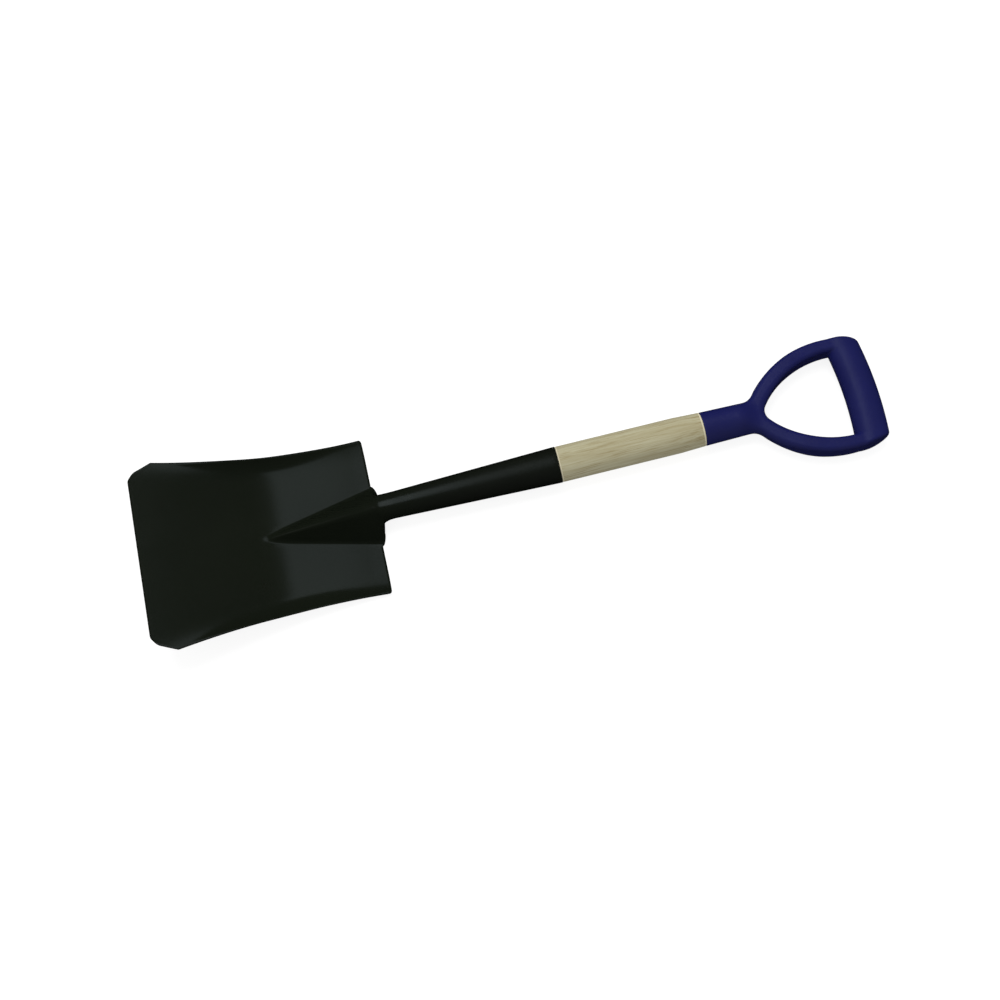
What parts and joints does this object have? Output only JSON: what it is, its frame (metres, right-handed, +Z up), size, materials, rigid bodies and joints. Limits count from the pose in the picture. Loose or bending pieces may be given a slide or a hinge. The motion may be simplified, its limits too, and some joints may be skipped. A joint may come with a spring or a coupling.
{
  "type": "garden spade",
  "caption": "Short square-mouth garden spade with a dished steel blade, a rolled socket, a wooden shaft and a moulded D grip.",
  "frame": {"origin": "middle of the footprint, on the ground, with the spade lying face up on its heel and its grip", "axes": "+X along the tool from the blade's mouth to the grip, +Y across it, +Z up out of the pan"},
  "size_m": [0.7817, 0.2054, 0.0565],
  "materials": {
    "blade": "semi-gloss black enamel",
    "shaft": "clear satin lacquer on pale hardwood",
    "grip": "satin moulded navy blue",
    "screws": "zinc plated"
  },
  "bodies": {
    "root": {"blade": "blade", "shaft": "shaft", "grip": "grip", "socket_screw_left": "screws", "socket_screw_right": "screws", "grip_screw": "screws"}
  },
  "joints": []
}
